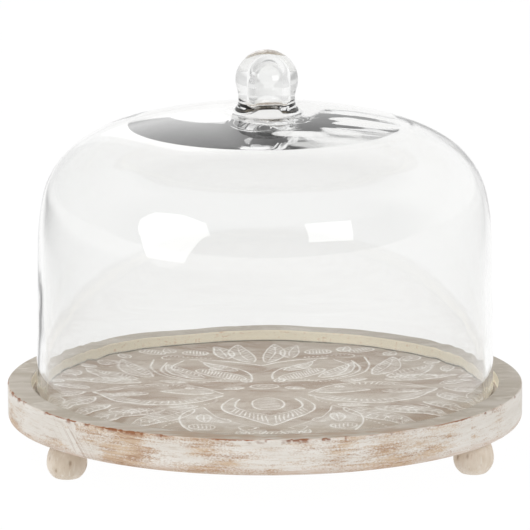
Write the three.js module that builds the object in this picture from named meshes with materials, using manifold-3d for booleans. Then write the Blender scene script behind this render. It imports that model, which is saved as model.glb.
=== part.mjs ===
// A cheese dome: a clear glass dome with a hollow knob stands in the recess of a round wooden board,
// which is glued up from four staves and stands on three turned feet, each held by one screw.
// Millimetres, +Z up. The origin is on the table, under the middle of the board, and -Y is the front.
import * as THREE from "three";
import { mergeVertices } from "three/addons/utils/BufferGeometryUtils.js";
import Module from "manifold-3d";

// ---- Driving dimensions ----

const GAP = 0.3; // left between pieces that touch

// Feet: balls of wood, flattened where they meet the table and the board.
const FOOT_HEIGHT = 19.4;
const FOOT_RADIUS = 11.6;
const FOOT_WIDEST_AT = 8.9;
const FOOT_BASE_RADIUS = 6.7;
const FOOT_TOP_RADIUS = 8.4;
const FOOT_CIRCLE = 134.4;
const FOOT_PLACES = { left: 210, right: 330, rear: 90 }; // degrees round the board, from +X

// Board: a disc with a shallow recess in its top.
const BOARD_RADIUS = 150;
const BOARD_THICKNESS = 21.2;
const BOARD_TOP_ROUND = 1.2;
const BOARD_BOTTOM_ROUND = 3.4;
const RECESS_RADIUS = 136.1;
const RECESS_DEPTH = 6;
const GLUE_LINES = [-100, 0, 100]; // Y of each glued joint; the grain runs along X

// Screws: countersunk wood screws, driven up through the feet into the board.
const SCREW_SHANK_RADIUS = 2;
const SCREW_HEAD_RADIUS = 3.7;
const SCREW_HEAD_LAND = 0.5;
const SCREW_LENGTH = 25;
const SCREW_TIP = 5;
const SCREW_SUNK = 6.5; // from the bottom of the foot to the face of the head
const DRIVE_LENGTH = 4.4;
const DRIVE_WIDTH = 1;
const DRIVE_DEPTH = 1.6;

// Glass: one wall thickness in the wall and shoulder, thicker in the crown and the knob.
const GLASS_WALL = 4;
const DOME_RADIUS = 133.3; // outside, at the bottom edge
const DOME_WALL_HEIGHT = 87.6; // of the nearly straight wall
const DOME_WALL_LEAN = 1.1; // degrees that the wall leans in
const SHOULDER = [
  { radius: 157, turn: 9.6, steps: 2 },
  { radius: 49.2, turn: 47.9, steps: 7 },
  { radius: 84.4, turn: 14.8, steps: 2 },
];
const CROWN = { radius: 215, turn: 16.6, steps: 3 };
const CEILING_RIM = { radius: 211, turn: 1.8 }; // still one wall thickness under the crown
const CEILING_BEND = { radius: 5, turn: 9.8, steps: 2 }; // where the inside turns flatter than the crown
const CEILING = { radius: 640, turn: 5, steps: 3 };
const KNOB_WAIST_RADIUS = 16.4;
const KNOB_FLARE_RADIUS = 6.5; // of the hollow curve from the crown up into the knob
const KNOB_WAIST_HEIGHT = 2.5;
const KNOB_RADIUS = 18.1;
const KNOB_NECK = { radius: 14.4, turn: 19.5 };
const KNOB_SIDE = { radius: 16.5, turn: 30 };
const KNOB_BELLY_RADIUS = 15.8; // from the neck out to the widest level
const CAVITY_RADIUS = 8.4;
const CAVITY_FLARE_RADIUS = 12;
const CAVITY_TOP_WALL = 7.6; // glass over the top of the knob's hollow

// Facets.
const GLASS_FACETS = 52;
const BOARD_FACETS = 96;
const FOOT_FACETS = 28;
const SCREW_FACETS = 16;

// ---- Levels that follow ----

const BOARD_BOTTOM = FOOT_HEIGHT + GAP;
const BOARD_TOP = BOARD_BOTTOM + BOARD_THICKNESS;
const RECESS_FLOOR = BOARD_TOP - RECESS_DEPTH;
const DOME_BOTTOM = RECESS_FLOOR + GAP;

// ---- Materials ----

const clearGlass = new THREE.MeshStandardMaterial({
  color: 0xeef2f0,
  roughness: 0.02,
  metalness: 0,
  transparent: true,
  opacity: 0.3,
});
const whitewashedWood = new THREE.MeshStandardMaterial({ color: 0xd2c6b6, roughness: 0.75, metalness: 0 });
const footWood = new THREE.MeshStandardMaterial({ color: 0xcdbfab, roughness: 0.7, metalness: 0 });
const zincSteel = new THREE.MeshStandardMaterial({ color: 0xb4b6b8, roughness: 0.35, metalness: 1 });

// ---- Shape helpers ----

const wasm = await Module();
wasm.setup();

const point = (radius, height) => new THREE.Vector2(radius, height);

// Walks from a start point along straight legs ({ length }) and arcs ({ radius, turn, steps }) that keep
// the direction smooth. Angles are in degrees, and a positive turn bends to the left.
function walk(start, heading, legs) {
  const points = [start];
  let here = start;
  let angle = heading;
  for (const { length = 0, radius = 0, turn = 0, steps = 1 } of legs) {
    const stepTurn = turn / steps;
    const chord = turn ? 2 * radius * Math.sin(THREE.MathUtils.degToRad(Math.abs(stepTurn) / 2)) : length;
    for (let i = 0; i < steps; i++) {
      const way = THREE.MathUtils.degToRad(angle + stepTurn / 2);
      here = point(here.x + chord * Math.cos(way), here.y + chord * Math.sin(way));
      points.push(here);
      angle += stepTurn;
    }
  }
  return points;
}

// A solid of revolution about +Z. The profile keeps its material on its left.
function revolve(profile, facets) {
  return new THREE.LatheGeometry(profile, facets).rotateX(Math.PI / 2);
}

function toSolid(geometry) {
  const bare = geometry.clone();
  bare.deleteAttribute("normal");
  bare.deleteAttribute("uv");
  const merged = mergeVertices(bare, 1e-4);
  const vertProperties = merged.attributes.position.array;
  const triVerts = new Uint32Array(merged.index.array);
  return new wasm.Manifold(new wasm.Mesh({ numProp: 3, vertProperties, triVerts }));
}

function toGeometry(solid) {
  const { vertProperties, triVerts } = solid.getMesh();
  const geometry = new THREE.BufferGeometry();
  geometry.setAttribute("position", new THREE.BufferAttribute(vertProperties, 3));
  geometry.setIndex(new THREE.BufferAttribute(triVerts, 1));
  geometry.computeVertexNormals();
  return geometry;
}

function addPiece(group, name, geometry, material) {
  const mesh = new THREE.Mesh(geometry, material);
  mesh.name = name;
  group.add(mesh);
  return mesh;
}

// ---- Glass dome ----

// The outside of the glass, from the bottom edge up to the top of the knob.
function glassOutside() {
  const rise = walk(point(DOME_RADIUS, DOME_BOTTOM + GLASS_WALL / 2), 90 + DOME_WALL_LEAN, [
    { length: DOME_WALL_HEIGHT - GLASS_WALL / 2 },
    ...SHOULDER,
    CROWN,
  ]);
  const crown = rise.at(-1);
  const flareStart = point(KNOB_WAIST_RADIUS + KNOB_FLARE_RADIUS, crown.y);
  const sideShift = KNOB_RADIUS - KNOB_SIDE.radius;
  const capRadius = KNOB_SIDE.radius + sideShift / Math.cos(THREE.MathUtils.degToRad(KNOB_SIDE.turn));
  const knob = walk(flareStart, 180, [
    { radius: KNOB_FLARE_RADIUS, turn: -90, steps: 4 },
    { length: KNOB_WAIST_HEIGHT },
    { radius: KNOB_NECK.radius, turn: -KNOB_NECK.turn, steps: 2 },
    { radius: KNOB_BELLY_RADIUS, turn: KNOB_NECK.turn, steps: 2 },
    { ...KNOB_SIDE, steps: 2 },
    { radius: capRadius, turn: 90 - KNOB_SIDE.turn, steps: 4 },
  ]);
  knob.at(-1).x = 0;
  return [...rise, ...knob];
}

// The inside of the glass, from the bottom edge up to the top of the knob's hollow.
function glassInside(knobTop) {
  const rise = walk(point(DOME_RADIUS - GLASS_WALL, DOME_BOTTOM + GLASS_WALL / 2), 90 + DOME_WALL_LEAN, [
    { length: DOME_WALL_HEIGHT - GLASS_WALL / 2 },
    ...SHOULDER.map((arc) => ({ ...arc, radius: arc.radius - GLASS_WALL })),
    CEILING_RIM,
    CEILING_BEND,
    CEILING,
  ]);
  const crown = rise.at(-1);
  const flareStart = point(CAVITY_RADIUS + CAVITY_FLARE_RADIUS, crown.y);
  const cavityTop = knobTop - CAVITY_TOP_WALL;
  const cavity = walk(flareStart, 180, [
    { radius: CAVITY_FLARE_RADIUS, turn: -90, steps: 4 },
    { length: cavityTop - CAVITY_RADIUS - crown.y - CAVITY_FLARE_RADIUS },
    { radius: CAVITY_RADIUS, turn: 90, steps: 4 },
  ]);
  cavity.at(-1).x = 0;
  return [...rise, ...cavity];
}

function makeGlass(group) {
  const outside = glassOutside();
  const inside = glassInside(outside.at(-1).y);
  const edge = walk(inside[0], 270 + DOME_WALL_LEAN, [{ radius: GLASS_WALL / 2, turn: 180, steps: 4 }]);
  const profile = [...inside.toReversed(), ...edge.slice(1, -1), ...outside];
  addPiece(group, "glass_dome", revolve(profile, GLASS_FACETS), clearGlass);
}

// ---- Board ----

function boardProfile() {
  const side = BOARD_THICKNESS - BOARD_TOP_ROUND - BOARD_BOTTOM_ROUND;
  const outside = walk(point(BOARD_RADIUS - BOARD_BOTTOM_ROUND, BOARD_BOTTOM), 0, [
    { radius: BOARD_BOTTOM_ROUND, turn: 90, steps: 4 },
    { length: side },
    { radius: BOARD_TOP_ROUND, turn: 90, steps: 2 },
  ]);
  return [
    point(0, BOARD_BOTTOM),
    ...outside,
    point(RECESS_RADIUS, BOARD_TOP),
    point(RECESS_RADIUS, RECESS_FLOOR),
    point(0, RECESS_FLOOR),
  ];
}

// Where a foot stands, as a place in the plane of the board.
function footPlace(degrees) {
  const angle = THREE.MathUtils.degToRad(degrees);
  return new THREE.Vector3(FOOT_CIRCLE * Math.cos(angle), FOOT_CIRCLE * Math.sin(angle), 0);
}

function pilotHoles() {
  const depth = SCREW_SUNK + SCREW_LENGTH + GAP - BOARD_BOTTOM;
  return Object.values(FOOT_PLACES).map((degrees) => {
    const { x, y } = footPlace(degrees);
    const hole = new THREE.CylinderGeometry(
      SCREW_SHANK_RADIUS + GAP,
      SCREW_SHANK_RADIUS + GAP,
      depth + BOARD_BOTTOM_ROUND,
      SCREW_FACETS,
    );
    hole.rotateX(Math.PI / 2);
    hole.translate(x, y, BOARD_BOTTOM + (depth - BOARD_BOTTOM_ROUND) / 2);
    return toSolid(hole);
  });
}

function makeBoard(group) {
  let disc = toSolid(revolve(boardProfile(), BOARD_FACETS));
  for (const hole of pilotHoles()) disc = disc.subtract(hole);
  const edges = [-BOARD_RADIUS - 1, ...GLUE_LINES, BOARD_RADIUS + 1];
  const names = ["stave_front", "stave_mid_front", "stave_mid_rear", "stave_rear"];
  names.forEach((name, i) => {
    const low = edges[i] + GAP / 2;
    const high = edges[i + 1] - GAP / 2;
    const slice = new THREE.BoxGeometry(2 * BOARD_RADIUS + 2, high - low, 2 * BOARD_TOP);
    slice.translate(0, (low + high) / 2, BOARD_TOP);
    addPiece(group, name, toGeometry(disc.intersect(toSolid(slice))), whitewashedWood);
  });
}

// ---- Feet and their screws ----

// Half an ellipse's height worth of the foot's side, between its widest level and a flat end.
function footSide(endRadius, endHeight, steps) {
  const endAngle = Math.acos(endRadius / FOOT_RADIUS);
  const reach = (endHeight - FOOT_WIDEST_AT) / Math.sin(endAngle);
  return Array.from({ length: steps + 1 }, (_, i) => {
    const angle = (endAngle * i) / steps;
    return point(FOOT_RADIUS * Math.cos(angle), FOOT_WIDEST_AT + reach * Math.sin(angle));
  });
}

function footProfile() {
  const boreRadius = SCREW_SHANK_RADIUS + GAP;
  const sinkRadius = SCREW_HEAD_RADIUS + GAP;
  const coneBottom = SCREW_SUNK + SCREW_HEAD_LAND + GAP;
  const coneTop = coneBottom + SCREW_HEAD_RADIUS - SCREW_SHANK_RADIUS;
  const belowWidest = footSide(FOOT_BASE_RADIUS, 0, 5).toReversed();
  const aboveWidest = footSide(FOOT_TOP_RADIUS, FOOT_HEIGHT, 5).slice(1);
  return [
    point(sinkRadius, 0),
    ...belowWidest,
    ...aboveWidest,
    point(boreRadius, FOOT_HEIGHT),
    point(boreRadius, coneTop),
    point(sinkRadius, coneBottom),
    point(sinkRadius, 0),
  ];
}

function screwProfile() {
  const headTop = SCREW_SUNK + SCREW_HEAD_LAND;
  const shankBottom = headTop + SCREW_HEAD_RADIUS - SCREW_SHANK_RADIUS;
  return [
    point(0, SCREW_SUNK),
    point(SCREW_HEAD_RADIUS, SCREW_SUNK),
    point(SCREW_HEAD_RADIUS, headTop),
    point(SCREW_SHANK_RADIUS, shankBottom),
    point(SCREW_SHANK_RADIUS, SCREW_SUNK + SCREW_LENGTH - SCREW_TIP),
    point(0, SCREW_SUNK + SCREW_LENGTH),
  ];
}

function screwGeometry() {
  let screw = toSolid(revolve(screwProfile(), SCREW_FACETS));
  for (const turn of [0, Math.PI / 2]) {
    const slot = new THREE.BoxGeometry(DRIVE_LENGTH, DRIVE_WIDTH, 2 * DRIVE_DEPTH);
    slot.rotateZ(turn);
    slot.translate(0, 0, SCREW_SUNK);
    screw = screw.subtract(toSolid(slot));
  }
  return toGeometry(screw);
}

function makeFeet(group) {
  for (const [side, degrees] of Object.entries(FOOT_PLACES)) {
    const stand = new THREE.Group();
    stand.position.copy(footPlace(degrees));
    addPiece(stand, `foot_${side}`, revolve(footProfile(), FOOT_FACETS), footWood);
    addPiece(stand, `screw_${side}`, screwGeometry(), zincSteel);
    group.add(stand);
  }
}

// ---- The whole ----

const cheeseDome = new THREE.Group();
makeGlass(cheeseDome);
makeBoard(cheeseDome);
makeFeet(cheeseDome);

export default cheeseDome;
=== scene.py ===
import math

import bmesh
import bpy
import numpy as np
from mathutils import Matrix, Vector


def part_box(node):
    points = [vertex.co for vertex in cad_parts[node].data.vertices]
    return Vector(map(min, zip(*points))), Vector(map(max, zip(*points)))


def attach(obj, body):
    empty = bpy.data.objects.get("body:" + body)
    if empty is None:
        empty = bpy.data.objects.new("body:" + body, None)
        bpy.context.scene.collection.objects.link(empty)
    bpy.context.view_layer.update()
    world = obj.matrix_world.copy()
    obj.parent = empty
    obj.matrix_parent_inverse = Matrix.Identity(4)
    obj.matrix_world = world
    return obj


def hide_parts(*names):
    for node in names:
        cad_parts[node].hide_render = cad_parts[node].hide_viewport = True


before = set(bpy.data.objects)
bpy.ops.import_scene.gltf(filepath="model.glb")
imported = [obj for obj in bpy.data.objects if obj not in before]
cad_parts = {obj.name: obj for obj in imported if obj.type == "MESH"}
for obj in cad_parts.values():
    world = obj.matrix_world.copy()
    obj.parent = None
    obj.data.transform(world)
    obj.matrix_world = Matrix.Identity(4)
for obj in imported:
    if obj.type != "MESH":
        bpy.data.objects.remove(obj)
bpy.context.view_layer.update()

# A blown-glass dome on a round board: four whitewashed staves with a floral carving in the recess, and
# three turned feet. Lengths are in millimetres until they become mesh points, which are in metres.
MM = 0.001

# ---- Sizes: from the frame, and the radii that round the same outlines ----

board_low, board_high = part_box("stave_mid_front")
dome_low, dome_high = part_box("glass_dome")
BOARD_RADIUS = board_high.x / MM
BOARD_BOTTOM = board_low.z / MM
BOARD_TOP = board_high.z / MM
GLUE_LINES = [
    (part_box(front)[1].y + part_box(rear)[0].y) / 2 / MM
    for front, rear in (
        ("stave_front", "stave_mid_front"),
        ("stave_mid_front", "stave_mid_rear"),
        ("stave_mid_rear", "stave_rear"),
    )
]
RECESS_RADIUS = 136.1
RECESS_FLOOR = BOARD_TOP - 6
RECESS_CORNER = 1.4
LIP_ROUND = 0.8
TOP_ROUND = 1.2
BOTTOM_ROUND = 3.4
FLOOR_CELLS = 405

# The outside and the inside of the glass run up as a wall and arcs (radius, turn) to the knob's flare.
DOME_BOTTOM = dome_low.z / MM
DOME_RADIUS = dome_high.x / MM
GLASS_WALL = 4
WALL_HEIGHT = 87.6
WALL_LEAN = 1.1
SHOULDER = [(157, 9.6), (49.2, 47.9), (84.4, 14.8)]
CROWN = (215, 16.6)
CEILING = [(211, 1.8), (5, 9.8), (640, 5)]
CEILING_REACH = 84
WAIST_RADIUS = 16.4
FLARE_RADIUS = 6.5
WAIST_HEIGHT = 1.9
KNOB_NECK = (14.4, 19.5)
KNOB_BELLY_RADIUS = 15.8
KNOB_SIDE = (16.5, 30)
KNOB_RADIUS = 18.1
CAVITY_RADIUS = 8.4
CAVITY_FLARE = 9
CAVITY_TOP_WALL = 7.6
KNOB_SHIFT = 1.0
HOLLOW_SHIFT = 0.8
GLASS_CHORD = 1.45
FLAT_CHORD = 1.8
GLASS_AROUND = 224

FOOT_RADIUS = 11.6
FOOT_WIDEST_AT = 8.9
FOOT_BASE_RADIUS = 6.7
FOOT_TOP_RADIUS = 8.4
SCREW_BORE = 4.0
FOOT_AROUND = 96
FOOT_DENTS = 5

# ---- The camera: metres and degrees, with the lens in millimetres ----

CAMERA_DISTANCE = 3.0
CAMERA_ELEVATION = 12.94
OBJECT_TURN = 2.8
AIM_HEIGHT = 0.1089
LENS = 349.07

# ---- Numbers ----


def smoothstep(low, high, value):
    t = np.clip((value - low) / (high - low), 0, 1)
    return t * t * (3 - 2 * t)


class Lattice:
    """Smooth value noise in three dimensions, between -1 and 1."""

    SIDE = 64

    def __init__(self, seed):
        self.values = np.random.default_rng(seed).uniform(-1, 1, (self.SIDE,) * 3)

    def at(self, points, size):
        scaled = np.asarray(points, float) / np.asarray(size, float)
        cell = np.floor(scaled).astype(int)
        part = scaled - cell
        part = part * part * (3 - 2 * part)
        total = 0
        for corner in np.ndindex(2, 2, 2):
            index = (cell + corner) % self.SIDE
            weight = np.prod(np.where(corner, part, 1 - part), axis=-1)
            total = total + weight * self.values[index[..., 0], index[..., 1], index[..., 2]]
        return total

    def rough(self, points, size, octaves):
        size = np.asarray(size, float)
        return sum(self.at(points, size / 2**i) / 2**i for i in range(octaves))


def walk(start, heading, legs, chord=0.5):
    """Points along straight legs (length, 0) and arcs (radius, turn) that keep the direction smooth.

    Angles are in degrees, and a positive turn bends to the left. Arc chords are about chord long."""
    points = [start]
    x, y = start
    angle = math.radians(heading)
    for radius, turn in legs:
        turn = math.radians(turn)
        if turn:
            steps = max(3, math.ceil(radius * abs(turn) / chord))
            length = 2 * radius * math.sin(abs(turn) / steps / 2)
        else:
            steps = max(1, math.ceil(radius / (4 * chord)))
            length = radius / steps
        for _ in range(steps):
            x += length * math.cos(angle + turn / steps / 2)
            y += length * math.sin(angle + turn / steps / 2)
            angle += turn / steps
            points.append((x, y))
    return points


# ---- Meshes ----


def face_outwards(mesh):
    solid = bmesh.new()
    solid.from_mesh(mesh)
    bmesh.ops.recalc_face_normals(solid, faces=solid.faces[:])
    solid.to_mesh(mesh)
    solid.free()


def new_piece(name, points_mm, faces, smooth=True):
    mesh = bpy.data.meshes.new(name)
    mesh.from_pydata(np.asarray(points_mm) * MM, [], faces)
    mesh.polygons.foreach_set("use_smooth", [smooth] * len(mesh.polygons))
    mesh.update()
    face_outwards(mesh)
    return link(name, mesh)


def ring_faces(rings, around, first=0):
    """Quads that join rings of points, each ring counter-clockwise, with the rings going outwards."""
    faces = []
    for ring in range(rings - 1):
        low = first + ring * around
        high = low + around
        for i in range(around):
            j = (i + 1) % around
            faces.append((low + i, high + i, high + j, low + j))
    return faces


def revolve(profile, around):
    """A turned shape: the way out at each angle, and the rings of points by (profile point, angle)."""
    angles = np.arange(around) * 2 * np.pi / around
    direction = np.stack([np.cos(angles), np.sin(angles)], -1)
    flat = profile[:, None, :1] * direction
    return direction, np.concatenate([flat, np.repeat(profile[:, None, 1:], around, 1)], -1)


def link(name, mesh):
    piece = bpy.data.objects.new(name, mesh)
    bpy.context.scene.collection.objects.link(piece)
    return piece


def mark_points(piece, name, marks):
    """Stores a colour for each point of a piece, for its material to read."""
    colours = piece.data.color_attributes.new(name, "FLOAT_COLOR", "POINT")
    colours.data.foreach_set("color", marks.ravel())


# ---- Materials ----


def paint(red, green, blue):
    """A colour given as a screen shows it, for a shader socket."""
    linear = [((c / 255 + 0.055) / 1.055) ** 2.4 if c > 10 else c / 255 / 12.92 for c in (red, green, blue)]
    return (*linear, 1)


class Nodes:
    """Builds a material's nodes, with places in millimetres, or a world's, with places as directions."""

    def __init__(self, name, shift=(0, 0, 0), world=False):
        self.owner = (bpy.data.worlds if world else bpy.data.materials).new(name)
        self.owner.use_nodes = True
        self.tree = self.owner.node_tree
        self.tree.nodes.clear()
        place = self.add("ShaderNodeTexCoord").outputs["Generated" if world else "Object"]
        scaled = self.add("ShaderNodeVectorMath", {0: place, 3: 1 if world else 1 / MM}, operation="SCALE")
        self.true_place = scaled.outputs[0]
        shifted = self.add("ShaderNodeVectorMath", {0: self.true_place, 1: shift}, operation="ADD")
        self.place = shifted.outputs[0]
        split = self.add("ShaderNodeSeparateXYZ", {0: self.true_place})
        self.x, self.y, self.z = split.outputs

    def add(self, kind, inputs=None, **settings):
        node = self.tree.nodes.new(kind)
        for key, value in settings.items():
            setattr(node, key, value)
        for key, value in (inputs or {}).items():
            if isinstance(value, bpy.types.NodeSocket):
                self.tree.links.new(value, node.inputs[key])
            else:
                node.inputs[key].default_value = value
        return node

    def math(self, operation, a, b=0.0):
        return self.add("ShaderNodeMath", {0: a, 1: b}, operation=operation).outputs[0]

    def plus(self, a, b):
        return self.math("ADD", a, b)

    def times(self, a, b):
        return self.math("MULTIPLY", a, b)

    def most(self, a, b):
        return self.math("MAXIMUM", a, b)

    def inverse(self, a):
        return self.math("SUBTRACT", 1.0, a)

    def step(self, value, low, high):
        """0 below low and 1 above high, with a smooth rise between. With high < low it falls instead."""
        flip = high < low
        low, high = sorted((low, high))
        made = self.add(
            "ShaderNodeMapRange",
            {"Value": value, "From Min": low, "From Max": high},
            interpolation_type="SMOOTHSTEP",
        ).outputs["Result"]
        return self.inverse(made) if flip else made

    def noise(self, size, detail, roughness=0.5, distortion=0.0, place=None):
        """Noise whose features are about size millimetres along X, Y and Z."""
        stretch = tuple(1 / s for s in size)
        scaled = self.add("ShaderNodeVectorMath", {0: place or self.place, 1: stretch}, operation="MULTIPLY")
        settings = {
            "Vector": scaled.outputs[0],
            "Scale": 1.0,
            "Detail": detail,
            "Roughness": roughness,
            "Distortion": distortion,
        }
        return self.add("ShaderNodeTexNoise", settings).outputs["Fac"]

    def fade(self, value, low, high, start, end):
        """Goes smoothly from start to end while value goes from low to high."""
        return self.plus(start, self.times(self.step(value, low, high), end - start))

    def mix(self, share, a, b):
        """Colour a where share is 0, and colour b where it is 1."""
        return self.add("ShaderNodeMix", {0: share, 6: a, 7: b}, data_type="RGBA").outputs[2]

    def radius(self):
        """The distance from the Z axis."""
        return self.math("SQRT", self.plus(self.times(self.x, self.x), self.times(self.y, self.y)))

    def attribute(self, name):
        node = self.add("ShaderNodeAttribute", attribute_name=name)
        split = self.add("ShaderNodeSeparateColor", {0: node.outputs["Color"]})
        return split.outputs

    def finish(self, shader_inputs, bump, bump_depth):
        relief = {"Height": bump, "Distance": bump_depth * MM, "Strength": 1.0}
        normal = self.add("ShaderNodeBump", relief).outputs[0]
        shader = self.add("ShaderNodeBsdfPrincipled", {**shader_inputs, "Normal": normal})
        self.add("ShaderNodeOutputMaterial", {"Surface": shader.outputs[0]})
        return self.owner

    def shine(self, light):
        """Ends a studio material: its light is found by the rays that meet it, and isn't sampled."""
        self.add("ShaderNodeOutputMaterial", {"Surface": light.outputs[0]})
        self.owner.cycles.emission_sampling = "NONE"
        return self.owner


def board_wood(name, shift):
    n = Nodes(name, shift)
    radius = n.radius()
    far_side = n.math("ABSOLUTE", n.x)
    groove, leaf, chip = n.attribute("carving")

    # Bare wood: tan, with brown figure that runs along X.
    figure = n.noise((26, 26, 2.4), 4, 0.62, 0.6)
    pores = n.noise((5, 5, 0.7), 3, 0.6)
    bare = n.mix(n.step(figure, 0.38, 0.66), paint(196, 174, 150), paint(164, 132, 106))
    bare = n.mix(n.times(n.step(pores, 0.58, 0.7), 0.6), bare, paint(128, 96, 72))

    # The side: white wash, thinner in streaks and a fine stipple, and worn to wood in a few patches.
    patch = n.noise((46, 46, 16), 2, 0.5, 0.4)
    streak = n.noise((18, 18, 1.6), 4, 0.65, 0.3)
    stipple = n.noise((1.3, 1.3, 0.7), 2, 0.65)
    worn = n.plus(n.times(patch, 0.52), n.plus(n.times(streak, 0.36), n.times(stipple, 0.3)))
    kept = n.plus(worn, n.times(n.step(far_side, 96, 120), 0.045))
    wash = n.step(n.plus(kept, n.times(n.step(n.x, 40, 140), 0.04)), 0.48, 0.64)
    white = n.mix(n.noise((30, 30, 6), 3, 0.5), paint(202, 195, 185), paint(226, 223, 218))
    side = n.mix(wash, bare, white)
    scuffed = n.times(n.step(n.noise((12, 12, 0.8), 3, 0.7), 0.52, 0.68), n.step(patch, 0.35, 0.65))
    side = n.mix(n.times(scuffed, 0.45), side, paint(178, 160, 140))
    low_wear = n.times(n.step(n.z, BOARD_BOTTOM + 6, BOARD_BOTTOM + 1), n.step(streak, 0.4, 0.62))
    side = n.mix(n.times(low_wear, 0.5), side, paint(176, 134, 98))

    # Saw scratches slant across the side near the left glue line.
    slanted = n.add("ShaderNodeVectorRotate", {"Vector": n.true_place, "Angle": 0.5}, rotation_type="Y_AXIS")
    scratch = n.step(n.noise((0.7, 60, 22), 2, 0.5, place=slanted.outputs[0]), 0.56, 0.64)
    near_joint = n.times(n.step(n.x, -128, -116), n.step(n.x, -96, -106))
    side = n.mix(n.times(scratch, n.times(near_joint, 0.4)), side, paint(146, 112, 86))

    # Along the top edge the wash is rubbed through to rust-brown wood, in a thin broken line.
    drop = n.times(n.noise((5, 5, 40), 3, 0.7), 1.9)
    below_top = n.step(n.z, BOARD_TOP + 0.1, BOARD_TOP - 0.35)
    near_edge = n.times(n.step(n.plus(n.z, drop), BOARD_TOP - 0.2, BOARD_TOP + 0.5), below_top)
    broken = n.step(n.noise((34, 34, 80), 2, 0.6), 0.44, 0.6)
    rust = n.times(near_edge, n.plus(0.12, n.times(broken, 0.88)))
    side = n.mix(rust, side, n.mix(stipple, paint(158, 98, 56), paint(104, 62, 38)))

    # The rim's top and the recess floor: a grey-beige stain, smooth, with pale streaks along X.
    haze = n.noise((60, 22, 30), 3, 0.55, 0.5)
    line = n.noise((34, 1.6, 8), 4, 0.6)
    stain = n.mix(n.step(haze, 0.35, 0.68), paint(166, 157, 144), paint(184, 177, 167))
    stain = n.mix(n.times(n.step(line, 0.5, 0.75), 0.28), stain, paint(200, 194, 185))
    rubbed = n.times(n.step(n.y, -100, -138), n.step(n.noise((20, 6, 20), 3, 0.6), 0.36, 0.6))
    mottle = n.noise((16, 12, 12), 4, 0.65, 0.8)
    stain = n.mix(n.times(n.step(mottle, 0.5, 0.7), 0.45), stain, paint(208, 203, 194))
    stain = n.mix(n.times(rubbed, 0.7), stain, paint(156, 134, 114))
    floor = n.mix(n.step(haze, 0.36, 0.62), paint(166, 147, 130), paint(190, 178, 164))
    floor = n.mix(n.times(n.step(mottle, 0.46, 0.64), 0.6), floor, paint(204, 195, 184))
    floor = n.mix(n.times(n.step(line, 0.54, 0.74), 0.25), floor, paint(204, 196, 186))
    cloudy = n.step(n.noise((7, 7, 7), 3, 0.65), 0.34, 0.68)
    floor = n.mix(n.times(leaf, n.plus(0.12, n.times(cloudy, 0.62))), floor, paint(214, 208, 199))
    floor = n.mix(n.times(groove, n.plus(0.58, n.times(cloudy, 0.42))), floor, paint(243, 240, 235))

    # Painted shade: a broken dark line on the floor where the glass stands, darker in patches.
    inner_edge = DOME_RADIUS - GLASS_WALL
    under_glass = n.times(
        n.step(radius, inner_edge + 0.3, inner_edge + 1.5),
        n.step(radius, DOME_RADIUS + 1.3, DOME_RADIUS + 0.1),
    )
    glass_foot_shade = n.plus(0.35, n.times(n.step(n.noise((9, 9, 9), 2), 0.35, 0.55), 0.55))
    floor = n.mix(n.times(under_glass, glass_foot_shade), floor, paint(104, 100, 84))

    # The wall of the recess: cream, with rust-coloured specks.
    specks = n.step(n.noise((2.6, 2.6, 1.4), 3, 0.65), 0.58, 0.7)
    wall = n.mix(n.times(specks, 0.5), paint(250, 241, 219), paint(214, 156, 104))

    under = n.mix(n.times(n.step(streak, 0.4, 0.62), 0.7), bare, paint(214, 205, 192))

    top_side = n.step(n.z, BOARD_TOP - 0.45, BOARD_TOP - 0.12)
    colour = n.mix(top_side, side, stain)
    inside = n.step(radius, RECESS_RADIUS + 0.35, RECESS_RADIUS + 0.05)
    colour = n.mix(inside, colour, wall)
    on_floor = n.times(inside, n.step(n.z, RECESS_FLOOR + 0.45, RECESS_FLOOR + 0.25))
    on_floor = n.times(on_floor, n.step(n.z, BOARD_BOTTOM + 6, BOARD_BOTTOM + 7))
    colour = n.mix(on_floor, colour, floor)
    colour = n.mix(n.step(n.z, BOARD_BOTTOM + 0.5, BOARD_BOTTOM + 0.1), colour, under)
    colour = n.mix(n.times(chip, 0.85), colour, n.mix(stipple, paint(150, 94, 58), paint(98, 60, 38)))

    height = n.plus(n.times(streak, 0.5), n.plus(n.times(stipple, 0.35), n.times(pores, -0.25)))
    rough = n.plus(0.58, n.times(worn, 0.25))
    return n.finish(
        {"Base Color": colour, "Roughness": rough, "Specular IOR Level": 0.32},
        bump=height,
        bump_depth=0.22,
    )


def foot_wood():
    n = Nodes("foot_wood")
    grain = n.noise((1.5, 1.5, 16), 4, 0.6, 0.3)
    cloud = n.noise((9, 9, 12), 2, 0.5)
    pores = n.noise((0.7, 0.7, 4.5), 2, 0.6)
    colour = n.mix(n.step(cloud, 0.3, 0.7), paint(203, 189, 171), paint(218, 207, 193))
    colour = n.mix(n.times(n.step(grain, 0.5, 0.72), 0.6), colour, paint(222, 215, 204))
    colour = n.mix(n.times(n.step(pores, 0.6, 0.72), 0.4), colour, paint(170, 140, 112))
    nick = n.attribute("dents")[0]
    colour = n.mix(n.times(nick, 0.7), colour, paint(136, 112, 88))
    return n.finish(
        {"Base Color": colour, "Roughness": n.plus(0.5, n.times(grain, 0.25)), "Specular IOR Level": 0.35},
        bump=n.plus(grain, n.times(pores, -0.4)),
        bump_depth=0.12,
    )


def clear_glass():
    n = Nodes("clear_glass")
    swirl = n.noise((34, 34, 60), 2, 0.5, 0.4)
    return n.finish(
        {"Base Color": (0.965, 0.967, 0.962, 1), "Roughness": 0.0, "IOR": 1.5, "Transmission Weight": 1.0},
        bump=swirl,
        bump_depth=0.02,
    )


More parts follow.
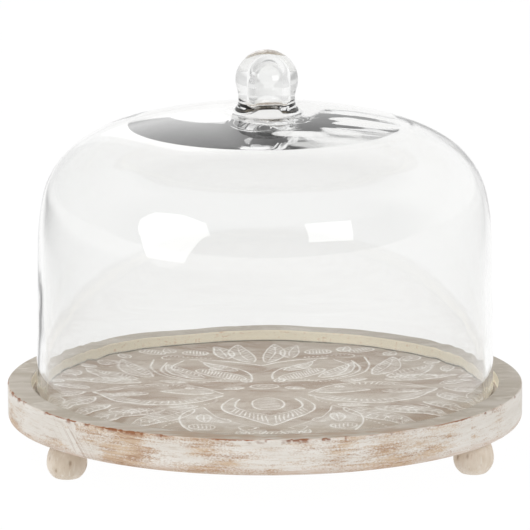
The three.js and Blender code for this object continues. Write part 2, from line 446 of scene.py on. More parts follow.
def screw_steel():
    n = Nodes("screw_steel")
    brushed = n.noise((0.2, 0.2, 3), 3, 0.6)
    blotch = n.noise((2, 2, 2), 2, 0.5)
    colour = n.mix(blotch, paint(176, 176, 180), paint(214, 214, 212))
    return n.finish(
        {"Base Color": colour, "Metallic": 1.0, "Roughness": n.plus(0.24, n.times(brushed, 0.25))},
        bump=brushed,
        bump_depth=0.03,
    )


# ---- The floral carving of the recess floor ----

CURVE_STEPS = 40
SPLINE_STEPS = 12


class Carving:
    """Maps of the recess floor, seen from above: how deep it is grooved, and where leaves stand between."""

    CELL = 0.3
    STRIDE = 0.2
    REACH = 138

    def __init__(self):
        self.side = int(2 * self.REACH / self.CELL) + 1
        self.groove = np.zeros((self.side, self.side))
        self.leaf = np.zeros((self.side, self.side))
        self.shake = Lattice(5)

    def spread(self, points, spacing):
        """Evenly spaced points along a line."""
        points = np.asarray(points, float)
        legs = np.hypot(*np.diff(points, axis=0).T)
        along = np.concatenate([[0], np.cumsum(legs)])
        count = max(3, int(along[-1] / spacing) + 1)
        t = np.linspace(0, along[-1], count)
        return np.stack([np.interp(t, along, points[:, i]) for i in range(2)], -1)

    def cut(self, points, width, depth=0.42, taper=True):
        """Grooves the floor along a line, with a hand's unsteadiness."""
        line = self.spread(points, self.STRIDE)
        where = np.column_stack([line, np.zeros(len(line))])
        line = line + 0.45 * np.stack([self.shake.at(where, 9), self.shake.at(where + 500, 9)], -1)
        force = 0.82 + 0.3 * self.shake.at(where + 250, 6)
        if taper:
            ends = np.minimum(np.arange(len(line)), np.arange(len(line))[::-1]) * self.STRIDE
            force = force * (0.35 + 0.65 * smoothstep(0, 2.2, ends))
        self.stamp(line, width * np.sqrt(force), depth * force)

    def stamp(self, line, width, depth):
        reach = int(np.max(width) / self.CELL) + 1
        offsets = np.arange(-reach, reach + 1)
        centre = (line + self.REACH) / self.CELL
        base = np.round(centre).astype(int)
        for dx in offsets:
            for dy in offsets:
                cell = base + (dx, dy)
                away = np.hypot(*((cell - centre) * self.CELL).T)
                shape = np.clip(1 - (away / (width / 2)) ** 2, 0, None)
                good = (shape > 0) & (cell.min(1) >= 0) & (cell.max(1) < self.side)
                np.maximum.at(self.groove, (cell[good, 1], cell[good, 0]), (depth * shape)[good])

    def fill(self, outline, amount):
        """Marks the inside of a closed outline as leaf."""
        cells = (np.asarray(outline) + self.REACH) / self.CELL
        low = np.clip(np.floor(cells.min(0)).astype(int), 0, self.side - 1)
        high = np.clip(np.ceil(cells.max(0)).astype(int) + 1, 1, self.side)
        x, y = np.meshgrid(np.arange(low[0], high[0]), np.arange(low[1], high[1]))
        inside = np.zeros(x.shape, bool)
        for (x0, y0), (x1, y1) in zip(cells, np.roll(cells, -1, axis=0)):
            if y0 != y1:
                crosses = (y0 > y) != (y1 > y)
                inside ^= crosses & (x < (x1 - x0) * (y - y0) / (y1 - y0) + x0)
        area = self.leaf[low[1]:high[1], low[0]:high[0]]
        np.maximum(area, inside * amount, out=area)

    def at(self, x, y):
        """The groove depth and the leaf share at points of the floor."""
        u = np.clip((x + self.REACH) / self.CELL, 0, self.side - 1.001)
        v = np.clip((y + self.REACH) / self.CELL, 0, self.side - 1.001)
        i, j = u.astype(int), v.astype(int)
        a, b = u - i, v - j
        found = []
        for grid in (self.groove, self.leaf):
            low = grid[j, i] * (1 - a) + grid[j, i + 1] * a
            high = grid[j + 1, i] * (1 - a) + grid[j + 1, i + 1] * a
            found.append(low * (1 - b) + high * b)
        return found


def bow(first, aim, last):
    """A curve from first to last that leans towards aim (a quadratic Bezier)."""
    t = np.linspace(0, 1, CURVE_STEPS)[:, None]
    return (1 - t) ** 2 * first + 2 * t * (1 - t) * aim + t**2 * last


def spline(points):
    """A smooth curve through all of the points (Catmull-Rom)."""
    points = np.asarray(points, float)
    padded = np.vstack([2 * points[0] - points[1], points, 2 * points[-1] - points[-2]])
    t = np.linspace(0, 1, SPLINE_STEPS, endpoint=False)[:, None]
    parts = []
    for a, b, c, d in zip(padded, padded[1:], padded[2:], padded[3:]):
        parts.append(
            0.5 * (2 * b + (c - a) * t + (2 * a - 5 * b + 4 * c - d) * t**2 + (3 * b - a - 3 * c + d) * t**3)
        )
    return np.vstack([*parts, points[-1:]])


class Pattern:
    """Draws on both halves of the floor at once."""

    EDGE = {"width": 1.4}
    FINE = {"width": 1.15, "depth": 0.36}
    STEM = {"width": 1.2, "depth": 0.36}
    BEAD = {"width": 1.5, "depth": 0.35, "taper": False}

    def __init__(self):
        self.carving = Carving()

    def both(self, points, **cut):
        points = np.asarray(points, float)
        self.carving.cut(points, **cut)
        self.carving.cut(points * (-1, 1), **cut)

    def both_fill(self, outline, amount):
        outline = np.asarray(outline, float)
        self.carving.fill(outline, amount)
        self.carving.fill(outline * (-1, 1), amount)

    def hatch(self, first, second, count, slant, keep=(0.08, 0.92)):
        """Strokes that cross from one edge to another. slant moves the far end along, as a share."""
        first, second = self.carving.spread(first, 0.4), self.carving.spread(second, 0.4)
        for i in range(count):
            t = keep[0] + (keep[1] - keep[0]) * (i + 0.5) / count
            s = min(max(t + slant, 0), 1)
            start = first[int(t * (len(first) - 1))]
            end = second[int(s * (len(second) - 1))]
            inset = (end - start) * 0.12
            self.both([start + inset, end - inset], **self.FINE)

    def leaf(self, base, tip, width, bend=0.0, ribs=0, slant=0.12):
        """A pointed leaf with a rib down its middle and strokes out from it."""
        base, tip = np.array(base, float), np.array(tip, float)
        way = tip - base
        across = np.array([-way[1], way[0]]) / np.hypot(*way)
        rib = bow(base, (base + tip) / 2 + across * bend, tip)
        t = np.linspace(0, 1, len(rib))
        half = width / 2 * np.sin(np.pi * t**0.8) ** 0.85
        ahead = np.gradient(rib, axis=0)
        normal = np.stack([-ahead[:, 1], ahead[:, 0]], -1) / np.hypot(*ahead.T)[:, None]
        left, right = rib + normal * half[:, None], rib - normal * half[:, None]
        self.both_fill(np.vstack([left, right[::-1]]), 0.8)
        self.both(left, **self.EDGE)
        self.both(right, **self.EDGE)
        if ribs:
            self.both(rib[4:-6], **self.STEM)
            self.hatch(rib, left, ribs, slant)
            self.hatch(rib, right, ribs, slant)

    def oval(self, centre, angle, length, width, strokes, lean=70.0, mirrored=True):
        """A closed oval, filled with parallel strokes."""
        angle, lean = math.radians(angle), math.radians(lean)
        turn = np.array([[math.cos(angle), math.sin(angle)], [-math.sin(angle), math.cos(angle)]])
        t = np.linspace(0, 2 * np.pi, 60)
        ring = np.stack([length / 2 * np.cos(t), width / 2 * np.sin(t)], -1)
        lines = []
        for i in range(strokes):
            x = length / 2 * 0.8 * (2 * (i + 0.5) / strokes - 1)
            half = width / 2 * 0.78 * math.sqrt(1 - (x / (length / 2)) ** 2)
            shift = half / math.tan(lean)
            lines.append(np.array([[x - shift, -half], [x + shift, half]]))
        draw = self.both if mirrored else self.carving.cut
        fill = self.both_fill if mirrored else self.carving.fill
        fill(ring @ turn + centre, 0.5)
        draw(ring @ turn + centre, taper=False, **self.EDGE)
        for line in lines:
            draw(line @ turn + centre, **self.FINE)

    def tendril(self, start, heading, length, curl):
        """A line that winds itself up."""
        s = np.linspace(0, 1, CURVE_STEPS)
        angle = math.radians(heading) + math.radians(curl) * s**1.6
        way = np.stack([np.cos(angle), np.sin(angle)], -1) * length / CURVE_STEPS
        self.both(np.array(start) + np.cumsum(way, axis=0), **self.STEM)

    def beads(self, points):
        """Small round dents along a curve through the points."""
        t = np.linspace(0, 2 * np.pi, 9)
        circle = 0.25 * np.stack([np.cos(t), np.sin(t)], -1)
        for centre in self.carving.spread(spline(points), 2.8):
            self.both(centre + circle, **self.BEAD)


def draw_pattern():
    """A rosette of leaves round a medallion, the same on both sides of X = 0. -Y is the front."""
    p = Pattern()
    middle = p.carving

    # The medallion in the middle, and the front petal: a hatched oval inside a pointed horseshoe.
    p.oval((0, 8.5), 0, 17, 11.5, 0, mirrored=False)
    middle.cut(spline([(-5, 8), (-2.5, 10.5), (0, 8.5), (2.5, 10.5), (5, 8)]), width=1.0)
    p.oval((0, -36), 90, 31, 19, 6, mirrored=False)
    inner = spline([(15.5, -23), (18.5, -33), (18.5, -44), (12, -55), (0, -66)])
    outer = spline([(19, -20), (23.5, -30), (26.5, -44), (23, -58), (10.5, -76), (0, -90)])
    p.both(inner, width=1.5)
    p.both(outer, width=1.6)
    p.both_fill(np.vstack([inner, outer[::-1]]), 0.75)
    p.hatch(inner[22:], outer[30:], 9, 0.05)

    # Buds on both sides of the front petal.
    bud_in = spline([(37, -42), (34, -56), (29, -70), (17, -86), (8, -96)])
    bud_out = spline([(37, -42), (47, -54), (52, -70), (51, -86), (45, -99)])
    p.both(bud_in, width=1.4)
    p.both(bud_out, width=1.5)
    p.both_fill(np.vstack([bud_in, bud_out[::-1]]), 0.8)
    p.oval((40, -91), 15, 15, 10, 5)
    p.hatch(bud_in[16:34], bud_out[16:34], 7, 0.04)
    p.leaf((38, -60), (38, -82), 8, ribs=4)
    p.leaf((4, -100), (20, -118), 9, bend=4, ribs=3)
    p.oval((0, -106), 0, 13, 9, 4, mirrored=False)
    p.tendril((8, -93), -60, 22, 250)

    # Broad ladder-hatched leaves that run out to the front corners.
    p.leaf((44, -46), (84, -84), 19, bend=-6, ribs=9, slant=0.06)
    p.leaf((60, -48), (104, -66), 17, bend=5, ribs=9, slant=0.08)
    p.oval((72, -97), -38, 18, 10, 6)
    p.tendril((56, -92), -70, 26, 230)
    p.beads([(54, -78), (62, -88), (66, -102)])

    # The side petals: an eye inside a long leaf with a hatched lower band.
    upper = spline([(24, -10), (38, 8), (58, 17), (80, 14), (101, 0)])
    lower = spline([(24, -14), (40, -30), (62, -36), (84, -26), (101, 0)])
    band = spline([(33, -13), (46, -23), (63, -26), (80, -18), (93, -3)])
    p.both(upper, width=1.5)
    p.both(lower, width=1.5)
    p.both(band, width=1.1)
    p.both_fill(np.vstack([lower, band[::-1]]), 0.85)
    p.hatch(band, lower, 20, 0.02)
    p.leaf((30, -7), (62, -2), 14, bend=4)
    p.both(spline([(35, -6), (46, -2), (57, -2)]), width=1.0)
    p.hatch(upper, spline([(36, -2), (50, 9), (70, 9), (88, 3)]), 18, -0.03, keep=(0.2, 0.95))
    p.leaf((68, -6), (92, -6), 9, ribs=5)

    # The rear side petals: long ovals inside teardrops.
    p.oval((24, 40), 44, 38, 13, 13, lean=55)
    near = spline([(6, 27), (7, 42), (13, 56), (27, 68), (36, 79)])
    far = spline([(14, 23), (36, 24), (52, 36), (60, 54), (56, 76)])
    p.both(near, width=1.5)
    p.both(far, width=1.5)
    p.leaf((14, 50), (32, 74), 10, bend=-3, ribs=5)
    p.leaf((34, 30), (56, 70), 13, bend=-7, ribs=9)

    # The rear point, with upright leaves that reach the edge of the glass.
    p.both(spline([(0, 64), (12, 73), (26, 80), (42, 82)]), width=2.4, depth=0.5)
    p.leaf((4, 72), (11, 122), 13, bend=-6, ribs=8)
    p.leaf((19, 84), (25, 118), 11, bend=4, ribs=6)
    p.oval((37, 100), 10, 16, 13, 6, lean=80)
    p.beads([(28, 86), (42, 88), (56, 92)])
    p.tendril((44, 90), 40, 30, -260)

    # Long bands between the rear petals and the side, and leaves round the edge.
    p.both(spline([(45, 80), (53, 62), (48, 42), (41, 30)]), width=1.4)
    p.both(spline([(64, 84), (66, 62), (59, 40), (44, 24)]), width=1.5)
    for base, tip, width, bend, ribs in (
        ((66, 36), (82, 84), 15, -7, 10),
        ((74, 30), (104, 62), 15, -5, 10),
        ((72, 22), (117, 34), 13, 4, 10),
        ((103, 10), (125, 20), 9, 3, 5),
        ((105, 2), (127, -10), 10, -3, 5),
        ((100, -12), (121, -38), 12, -4, 6),
        ((90, -34), (112, -58), 11, 4, 6),
    ):
        p.leaf(base, tip, width, bend, ribs)
    for centre, angle, length, width, strokes in (
        ((64, 103), 32, 17, 10, 6),
        ((92, 79), 52, 16, 10, 5),
        ((112, 52), 66, 15, 9, 5),
        ((96, -80), -48, 15, 9, 5),
        ((120, -20), 78, 14, 8, 4),
    ):
        p.oval(centre, angle, length, width, strokes)

    # Small leaves, tendrils and beads fill what is left.
    small_leaves = [
        ((24, -104), (38, -122), 9), ((58, -104), (66, -112), 7), ((84, -92), (94, -94), 7),
        ((22, 62), (30, 52), 6), ((104, -64), (112, -66), 6), ((44, 8), (44, 2), 5),
        ((52, 100), (56, 114), 8), ((78, 88), (84, 100), 8), ((100, 66), (108, 72), 7),
        ((118, 26), (128, 36), 7), ((40, -40), (58, -42), 8), ((70, -46), (84, -56), 7),
        ((12, 6), (24, 2), 6), ((8, 20), (12, 30), 6), ((20, -98), (14, -110), 6), ((46, 20), (62, 26), 7),
    ]
    for base, tip, width in small_leaves:
        p.leaf(base, tip, width, ribs=4)
    for start, heading, length, curl in (
        ((96, 22), 30, 26, 240),
        ((84, -40), -20, 24, -240),
        ((30, -70), 200, 22, 220),
        ((110, 40), 70, 20, -220),
        ((66, -70), -90, 18, 240),
    ):
        p.tendril(start, heading, length, curl)
    p.beads([(20, 30), (34, 20), (44, 26)])
    p.beads([(28, -18), (30, -30), (36, -36)])
    p.beads([(70, 56), (76, 70), (88, 66)])
    p.beads([(104, -44), (116, -50), (118, -38)])
    return middle


# ---- The board ----


def disc_grid(count):
    """A square grid bent into a unit disc, its edge points evenly spaced, and the order of those points."""
    line = np.linspace(-1, 1, count + 1)
    a, b = np.meshgrid(line, line)
    flat = np.abs(a) > np.abs(b)
    radius = np.where(flat, a, b)
    with np.errstate(divide="ignore", invalid="ignore"):
        angle = np.where(flat, np.pi / 4 * b / a, np.pi / 2 - np.pi / 4 * a / b)
    angle = np.nan_to_num(angle)
    index = np.arange((count + 1) ** 2).reshape(count + 1, count + 1)
    edge = np.concatenate([index[0, :-1], index[:-1, -1], index[-1, :0:-1], index[:0:-1, 0]])
    faces = np.stack([index[:-1, :-1], index[:-1, 1:], index[1:, 1:], index[1:, :-1]], -1).reshape(-1, 4)
    return np.stack([(radius * np.cos(angle)).ravel(), (radius * np.sin(angle)).ravel()], -1), faces, edge


def board_outline():
    """The section from the recess floor's edge out over the rim, down the side and in under the board."""
    recess = walk((RECESS_RADIUS - RECESS_CORNER, RECESS_FLOOR), 0, [(RECESS_CORNER, 90)], 0.5)
    wall = BOARD_TOP - RECESS_FLOOR - RECESS_CORNER - LIP_ROUND
    lip = walk((RECESS_RADIUS, RECESS_FLOOR + RECESS_CORNER), 90, [(wall, 0), (LIP_ROUND, -90)], 0.3)
    rim = np.linspace(RECESS_RADIUS + LIP_ROUND, BOARD_RADIUS - TOP_ROUND, 15)[1:]
    edge = walk((BOARD_RADIUS - TOP_ROUND, BOARD_TOP), 0, [(TOP_ROUND, -90)], 0.35)
    down = np.linspace(BOARD_TOP - TOP_ROUND, BOARD_BOTTOM + BOTTOM_ROUND, 22)[1:]
    under = walk((BOARD_RADIUS, BOARD_BOTTOM + BOTTOM_ROUND), -90, [(BOTTOM_ROUND, -90)], 0.7)
    return (
        recess[1:]
        + lip[1:]
        + [(r, BOARD_TOP) for r in rim]
        + edge[1:]
        + [(BOARD_RADIUS, z) for z in down]
        + under[1:]
        + [(r, BOARD_BOTTOM) for r in (140, 120, 90, 60, 30)]
    )


def board_points():
    """All points and faces of the whole board, with the carved floor, and each point's carving marks."""
    carving = draw_pattern()
    disc, faces, edge = disc_grid(FLOOR_CELLS)
    outline = board_outline()
    floor = disc * (RECESS_RADIUS - RECESS_CORNER)
    points = [np.column_stack([floor, np.full(len(floor), RECESS_FLOOR)])]
    around = len(edge)
    directions = disc[edge]
    for radius, z in outline:
        points.append(np.column_stack([directions * radius, np.full(around, z)]))
    first = len(floor)
    points.append(np.array([[0, 0, BOARD_BOTTOM]]))
    points = np.vstack(points)

    faces = [tuple(f) for f in faces.tolist()]
    for i in range(around):
        j = (i + 1) % around
        faces.append((int(edge[i]), first + i, first + j, int(edge[j])))
    faces += ring_faces(len(outline), around, first)
    last = first + (len(outline) - 1) * around
    for i in range(around):
        faces.append((last + i, len(points) - 1, last + (i + 1) % around))

    marks = np.zeros((len(points), 4))
    marks[:, 3] = 1
    depth, leaf = carving.at(points[:first, 0], points[:first, 1])
    uneven = Lattice(3)
    points[:first, 2] += 0.22 * smoothstep(0, 1, leaf) - depth
    points[:first, 2] += 0.08 * uneven.rough(points[:first], (30, 14, 30), 2)
    marks[:first, 0] = smoothstep(0.03, 0.2, depth)
    marks[:first, 1] = leaf

    # The side is hand-sanded: it waves a little, and its top edge is chipped where the wash has gone.
    outer = points[first:-1]
    radius = np.hypot(outer[:, 0], outer[:, 1])
    on_side = smoothstep(BOARD_RADIUS - 1.2, BOARD_RADIUS - 0.2, radius)
    wave = 0.16 * uneven.rough(outer, (34, 34, 12), 3)
    near_top = smoothstep(BOARD_TOP - 3.2, BOARD_TOP - 0.9, outer[:, 2])
    ragged = uneven.rough(outer + 90, (3.2, 3.2, 2.2), 2) + 0.7 * uneven.at(outer + 40, (38, 38, 90))
    at_edge = smoothstep(BOARD_RADIUS - 1.3, BOARD_RADIUS - 0.5, radius)
    chip = near_top * smoothstep(0.55, 0.95, ragged) * at_edge
    inward = on_side * wave - 0.5 * chip
    outer[:, :2] *= (1 + np.minimum(inward, 0) / np.maximum(radius, 1))[:, None]
    marks[first:-1, 2] = chip
    return points, faces, marks


def cut_stave(name, mesh, low, high):
    """The part of the board between two glue lines, closed, with its cut faces shaded flat and their edges
    sharp.
    """
    solid = bmesh.new()
    solid.from_mesh(mesh)
    for y, side in ((low, -1), (high, 1)):
        if y is None:
            continue
        geometry = solid.verts[:] + solid.edges[:] + solid.faces[:]
        made = bmesh.ops.bisect_plane(
            solid, geom=geometry, dist=1e-7, plane_co=(0, y * MM, 0), plane_no=(0, side, 0), clear_outer=True
        )
        edges = [e for e in made["geom_cut"] if isinstance(e, bmesh.types.BMEdge) and e.is_boundary]
        caps = bmesh.ops.edgeloop_fill(solid, edges=edges)["faces"]
        for face in caps:
            face.smooth = False
            for cut_edge in face.edges:
                cut_edge.smooth = False
    bmesh.ops.recalc_face_normals(solid, faces=solid.faces[:])
    stave = bpy.data.meshes.new(name)
    solid.to_mesh(stave)
    solid.free()
    return link(name, stave)


def make_board():
    points, faces, marks = board_points()
    whole = new_piece("board_blank", points, faces)
    mark_points(whole, "carving", marks)
    joints = [None, *GLUE_LINES, None]
    for i, place in enumerate(("front", "mid_front", "mid_rear", "rear")):
        stave = cut_stave(f"carved_stave_{place}", whole.data, joints[i], joints[i + 1])
        stave.data.materials.append(board_wood(f"whitewashed_wood_{place}", (170 * i, 37 * i, 53 * i)))
        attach(stave, "stand")
        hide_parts(f"stave_{place}")
    blank = whole.data
    bpy.data.objects.remove(whole)
    bpy.data.meshes.remove(blank)


# ---- The glass ----


def glass_outside():
    legs = [(WALL_HEIGHT - GLASS_WALL / 2, 0), *SHOULDER, CROWN]
    rise = walk((DOME_RADIUS, DOME_BOTTOM + GLASS_WALL / 2), 90 + WALL_LEAN, legs, GLASS_CHORD)
    shift = KNOB_RADIUS - KNOB_SIDE[0]
    cap = KNOB_SIDE[0] + shift / math.cos(math.radians(KNOB_SIDE[1]))
    flare = (WAIST_RADIUS + FLARE_RADIUS, rise[-1][1])
    neck, neck_turn = KNOB_NECK
    legs = [(FLARE_RADIUS, -90), (WAIST_HEIGHT, 0), (neck, -neck_turn), (KNOB_BELLY_RADIUS, neck_turn)]
    return rise, walk(flare, 180, [*legs, KNOB_SIDE, (cap, 90 - KNOB_SIDE[1])])


def glass_inside(knob_top):
    shoulder = [(radius - GLASS_WALL, turn) for radius, turn in SHOULDER]
    legs = [(WALL_HEIGHT - GLASS_WALL / 2, 0), *shoulder, *CEILING]
    start = (DOME_RADIUS - GLASS_WALL, DOME_BOTTOM + GLASS_WALL / 2)
    rise = walk(start, 90 + WALL_LEAN, legs, GLASS_CHORD)
    crown = rise[-1][1]
    straight = knob_top - CAVITY_TOP_WALL - CAVITY_RADIUS - crown - CAVITY_FLARE
    legs = [(CAVITY_FLARE, -90), (straight, 0), (CAVITY_RADIUS, 90)]
    return rise, walk((CAVITY_RADIUS + CAVITY_FLARE, crown), 180, legs)


def follow_crown(rise):
    """Where the underside of the crown would be if it stayed one wall thickness below the outside."""
    radii, heights = np.array([(r, z) for r, z in rise if z > DOME_BOTTOM + WALL_HEIGHT])[::-1].T
    return radii, heights - GLASS_WALL


def flat_stretch(start, end):
    """Points between the shoulder's top and the knob's flare, both ends left out."""
    count = max(2, round(abs(end[0] - start[0]) / FLAT_CHORD))
    return [(start[0] + (end[0] - start[0]) * i / count, start[1]) for i in range(1, count)]


def make_glass():
    rise_out, knob = glass_outside()
    rise_in, cavity = glass_inside(knob[-1][1])
    outside = rise_out + flat_stretch(rise_out[-1], knob[0]) + knob
    inside = rise_in + flat_stretch(rise_in[-1], cavity[0]) + cavity
    edge = walk(inside[0], 270 + WALL_LEAN, [(GLASS_WALL / 2, 180)])
    profile = inside[::-1] + edge[1:-1] + outside
    profile = np.array(profile[1:-1])
    inner = np.arange(len(profile)) < len(inside) - 1

    direction, ring = revolve(profile, GLASS_AROUND)

    # Blown glass: both faces wave, and more so inside, low down and at the sides, but not at the knob.
    ahead = np.gradient(profile, axis=0)
    normal = np.stack([ahead[:, 1], -ahead[:, 0]], -1) / np.hypot(*ahead.T)[:, None]
    along = np.concatenate([[0], np.cumsum(np.hypot(*np.diff(profile, axis=0).T))])
    unrolled = np.stack([np.full(len(profile), DOME_RADIUS), along], -1)
    sheet = revolve(unrolled, GLASS_AROUND)[1]
    wobble = Lattice(21)
    low_down = smoothstep(BOARD_TOP + 60, BOARD_TOP + 10, profile[:, 1])[:, None]
    wave = np.where(
        inner[:, None],
        0.07 * wobble.at(sheet, (26, 26, 34)) + 0.05 * low_down * wobble.at(sheet + 90, (7, 7, 16)),
        0.05 * wobble.at(sheet + 300, (34, 34, 40)) + 0.02 * low_down * wobble.at(sheet + 200, (8, 8, 14)),
    )
    beside = smoothstep(70, 110, np.abs(ring[..., 0]))
    beside = beside * smoothstep(BOARD_TOP + 95, BOARD_TOP + 45, ring[..., 2])
    wave = wave + inner[:, None] * 0.1 * beside * wobble.at(sheet + 700, (4, 4, 7))
    on_wall = smoothstep(20, 40, profile[:, 0])[:, None]
    ring[..., :2] += (wave * on_wall * normal[:, :1])[..., None] * direction
    ring[..., 2] += wave * on_wall * normal[:, 1:]

    # The inside of the crown is flattest at the left, and follows the outside more closely at the right.
    level = np.interp(profile[:, 0], *follow_crown(rise_out))
    sag = np.clip(level - profile[:, 1], 0, None) * inner * (profile[:, 0] < CEILING_REACH)
    sag = sag * smoothstep(24, 46, profile[:, 0])
    bearing = np.degrees(np.arctan2(direction[:, 1], direction[:, 0])) % 360
    right = smoothstep(256, 286, bearing) + smoothstep(80, 50, bearing)
    streaky = right * (0.72 + 0.2 * wobble.at(ring + 400, (34, 9, 9)))
    ring[..., 2] += sag[:, None] * streaky

    # The knob stands a little to one side, and its hollow isn't quite in the knob's middle.
    lift = smoothstep(rise_in[-1][1], rise_in[-1][1] + 14, profile[:, 1])
    ring[..., 0] += (KNOB_SHIFT * smoothstep(40, 20, profile[:, 0]) + HOLLOW_SHIFT * inner * lift)[:, None]

    points = ring.reshape(-1, 3)
    top_in = np.array([[KNOB_SHIFT + HOLLOW_SHIFT, 0, inside[-1][1]]])
    top_out = np.array([[KNOB_SHIFT, 0, outside[-1][1]]])
    points = np.vstack([points, top_in, top_out])
    faces = ring_faces(len(profile), GLASS_AROUND)
    last = (len(profile) - 1) * GLASS_AROUND
    for i in range(GLASS_AROUND):
        j = (i + 1) % GLASS_AROUND
        faces.append((len(points) - 2, i, j))
        faces.append((len(points) - 1, last + j, last + i))
    glass = new_piece("blown_glass_dome", points, faces)
    glass.data.materials.append(clear_glass())
    glass.visible_shadow = False
    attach(glass, "dome")
    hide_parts("glass_dome")


# ---- Feet and screws ----


def foot_side(end_radius, end_height, steps):
    """The ball's outline from its widest place to one end."""
    end = math.acos(end_radius / FOOT_RADIUS)
    reach = (end_height - FOOT_WIDEST_AT) / math.sin(end)
    return [
        (FOOT_RADIUS * math.cos(end * i / steps), FOOT_WIDEST_AT + reach * math.sin(end * i / steps))
        for i in range(steps + 1)
    ]


def make_foot(place, material, seed):
    low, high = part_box(f"foot_{place}")
    centre = np.array([(low.x + high.x) / 2, (low.y + high.y) / 2]) / MM
    height = BOARD_BOTTOM
    below = foot_side(FOOT_BASE_RADIUS, 0, 14)[::-1]
    below[0] = (FOOT_BASE_RADIUS, 0.25)
    above = foot_side(FOOT_TOP_RADIUS, height, 16)[1:]
    profile = (
        [(SCREW_BORE, height), (SCREW_BORE, 8), (SCREW_BORE, 0.25), (SCREW_BORE + 0.25, 0)]
        + [(FOOT_BASE_RADIUS - 1.2, 0), (FOOT_BASE_RADIUS - 0.5, 0.08)]
        + below
        + above
        + [(FOOT_TOP_RADIUS - 2, height)]
    )
    profile = np.array(profile)
    direction, ring = revolve(profile, FOOT_AROUND)

    # Turned by hand: not quite round, with a few dents.
    uneven = Lattice(seed)
    on_ball = smoothstep(FOOT_BASE_RADIUS - 0.2, FOOT_BASE_RADIUS + 1.5, profile[:, 0])[:, None]
    swell = on_ball * (0.22 * uneven.at(ring + 50, (11, 11, 9)) + 0.05 * uneven.at(ring, (2.4, 2.4, 5)))
    ring[..., :2] += swell[..., None] * direction
    dents = np.zeros(swell.shape)
    for dent in range(seed, seed + FOOT_DENTS):
        angle = np.random.default_rng(dent).uniform(0, 2 * np.pi)
        up = 5 + (dent + 1) * 3.7 % 9
        spot = np.array([math.cos(angle) * FOOT_RADIUS, math.sin(angle) * FOOT_RADIUS, up])
        away = np.linalg.norm((ring - spot) / (0.9, 0.9, 2.2), axis=-1)
        dents = np.maximum(dents, smoothstep(1.2, 0.3, away) * on_ball)
    ring[..., :2] -= (0.4 * dents)[..., None] * direction

    points = ring.reshape(-1, 3) + (*centre, 0)
    faces = ring_faces(len(profile), FOOT_AROUND)
    last = (len(profile) - 1) * FOOT_AROUND
    for i in range(FOOT_AROUND):
        j = (i + 1) % FOOT_AROUND
        faces.append((last + i, i, j, last + j))
    foot = new_piece(f"turned_foot_{place}", points, faces)
    marks = np.zeros((len(points), 4))
    marks[:, 0] = dents.ravel()
    mark_points(foot, "dents", marks)
    foot.data.materials.append(material)
    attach(foot, "stand")
    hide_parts(f"foot_{place}")


def make_feet():
    wood = foot_wood()
    steel = screw_steel()
    for seed, place in ((41, "left"), (57, "right"), (73, "rear")):
        make_foot(place, wood, seed)
        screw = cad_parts[f"screw_{place}"]
        screw.data.materials.clear()
        screw.data.materials.append(steel)


# ---- The studio: lengths of its shapes are in metres ----

LAMP_DISTANCE = 2.2


def toward(azimuth, elevation):
    """A direction from the object. Azimuth is from +X towards +Y, in degrees."""
    azimuth, elevation = math.radians(azimuth), math.radians(elevation)
    flat = math.cos(elevation)
    return Vector((flat * math.cos(azimuth), flat * math.sin(azimuth), math.sin(elevation)))


def glow(name, strength):
    n = Nodes(name)
    return n.shine(n.add("ShaderNodeEmission", {"Strength": strength}))


def window_light():
    """Brightest in one tall patch, and fading into the room around it."""
    n = Nodes("rear_window_light")
    across = n.times(n.step(n.x, -650, -470), n.step(n.x, 200, -100))
    upwards = n.times(n.step(n.z, 650, 1050), n.step(n.z, 3000, 2500))
    return n.shine(n.add("ShaderNodeEmission", {"Strength": n.plus(1.05, n.times(across, upwards))}))


def sweep_light():
    """A lit floor: white under and behind the object, greyer towards the front and the near sides."""
    n = Nodes("pale_floor")
    half_width = n.plus(270, n.times(n.most(n.y, 0.0), 0.12))
    off_side = n.math("SUBTRACT", n.math("ABSOLUTE", n.x), half_width)
    strip = n.times(n.step(off_side, 330, 0), n.step(n.y, -720, -450))
    sides = n.mix(n.step(n.x, -600, 600), (0.5, 0.5, 0.5, 1), (0.76, 0.76, 0.76, 1))
    sides = n.mix(n.step(n.radius(), 1300, 3600), sides, (0.84, 0.84, 0.84, 1))
    level = n.mix(strip, sides, (0.985, 0.985, 0.985, 1))
    light = n.add("ShaderNodeEmission", {"Color": level, "Strength": 1.0})
    matt = n.add("ShaderNodeBsdfDiffuse", {"Color": (0.025, 0.025, 0.025, 1)})
    return n.shine(n.add("ShaderNodeAddShader", {0: light.outputs[0], 1: matt.outputs[0]}))


def make_floor():
    """A wide pale floor that rises far away, so that it is behind the object from every side."""
    outline = [(1, 0), (6, 0), (20, 0), (32, 0.3), (38, 1.2), (40, 2.2)]
    around = 96
    points = [(0, 0, 0)]
    for radius, z in outline:
        for i in range(around):
            angle = 2 * math.pi * i / around
            points.append((radius * math.cos(angle), radius * math.sin(angle), z))
    faces = [(0, 1 + i, 1 + (i + 1) % around) for i in range(around)]
    faces += ring_faces(len(outline), around, 1)
    floor = new_piece("studio_floor", np.array(points) / MM, faces)
    floor.data.materials.append(sweep_light())


def make_card(name, azimuth, elevation, distance, outline, material):
    """A flat lit card that faces the object, seen only in reflections. The outline is in metres."""
    centre = toward(azimuth, elevation) * distance + Vector((0, 0, 0.12))
    facing = toward(azimuth, elevation)
    right = Vector((-facing.y, facing.x, 0)).normalized()
    up = facing.cross(right)
    points = [centre + right * u + up * v for u, v in outline]
    card = new_piece(name, np.array(points) / MM, [tuple(range(len(points)))], smooth=False)
    card.data.materials.append(material)
    for ray in ("camera", "diffuse", "shadow", "transmission"):
        setattr(card, f"visible_{ray}", False)


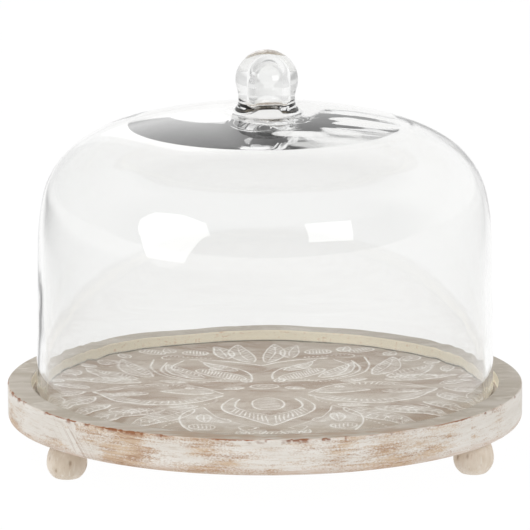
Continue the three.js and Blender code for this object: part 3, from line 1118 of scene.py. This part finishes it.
def add_area_light(name, azimuth, elevation, size, power):
    data = bpy.data.lights.new(name, "AREA")
    data.shape = "DISK"
    data.size = size
    data.energy = power
    lamp = bpy.data.objects.new(name, data)
    direction = toward(azimuth, elevation)
    lamp.location = direction * LAMP_DISTANCE
    lamp.rotation_euler = direction.to_track_quat("Z", "Y").to_euler()
    lamp.visible_glossy = False
    lamp.visible_transmission = False
    bpy.context.scene.collection.objects.link(lamp)


def make_world():
    """A white room behind, greyer overhead and to the left, and dim in front."""
    n = Nodes("studio", world=True)
    bpy.context.scene.world = n.owner
    room = n.times(n.fade(n.x, -1.0, 0.3, 0.85, 1.25), n.fade(n.y, -0.5, 0.2, 0.2, 1.0))
    room = n.math("MINIMUM", room, n.fade(n.z, 0.6, 0.85, 1.25, 0.6))
    strength = n.most(room, n.fade(n.z, 0.3, 0.6, 0.0, 0.6))
    background = n.add("ShaderNodeBackground", {"Strength": strength})
    n.add("ShaderNodeOutputWorld", {"Surface": background.outputs[0]})


def make_studio():
    make_floor()
    make_world()
    octagon = [(-0.44, 0.61), (0.06, 0.68), (0.57, 0.47), (0.77, 0.0), (0.57, -0.31), (0.35, -0.63)]
    octagon += [(-0.38, -0.63), (-0.6, -0.26), (-0.63, 0.2)]
    make_card("octagon_softbox", -142, 17, 2.0, octagon[::-1], glow("octagon_light", 4.0))
    stand = [(-0.45, -0.48), (-0.3, -0.68), (-0.1, -0.76), (-0.08, -1.0)]
    stand += [(0.06, -1.0), (0.08, -0.76), (0.3, -0.66), (0.48, -0.44)]
    make_card("octagon_stand", -142, 17, 2.02, stand, glow("stand_light", 1.5))
    oblong = [(-0.4, -0.36), (0.4, -0.41), (0.43, 0.36), (-0.37, 0.4)]
    make_card("oblong_softbox", -60, 19.5, 2.0, oblong, glow("oblong_light", 4.0))
    window = [(-0.2, -0.5), (0.8, -0.5), (0.8, 2.2), (-0.2, 2.2)]
    make_card("rear_window", 90, 14, 3.5, window, window_light())
    add_area_light("top_light", 200, 70, 1.6, 22)
    add_area_light("left_light", -142, 22, 1.2, 14)
    add_area_light("right_light", -55, 25, 1.2, 16)


def make_camera():
    turn, rise = math.radians(OBJECT_TURN), math.radians(CAMERA_ELEVATION)
    away = Vector((-math.sin(turn) * math.cos(rise), -math.cos(turn) * math.cos(rise), math.sin(rise)))
    data = bpy.data.cameras.new("camera")
    data.lens = LENS
    data.sensor_width = 36
    data.clip_start = 0.1
    data.clip_end = 200
    camera = bpy.data.objects.new("camera", data)
    camera.location = away * CAMERA_DISTANCE + Vector((0, 0, BOARD_TOP * MM))
    aim = camera.location - Vector((0, 0, AIM_HEIGHT))
    camera.rotation_euler = aim.to_track_quat("Z", "Y").to_euler()
    bpy.context.scene.collection.objects.link(camera)
    bpy.context.scene.camera = camera


def set_look():
    scene = bpy.context.scene
    scene.view_settings.view_transform = "Standard"
    scene.view_settings.look = "None"
    scene.cycles.max_bounces = 14
    scene.cycles.transmission_bounces = 12
    scene.cycles.glossy_bounces = 8
    scene.cycles.sample_clamp_indirect = 6


make_camera()
make_studio()
set_look()
make_board()
make_glass()
make_feet()
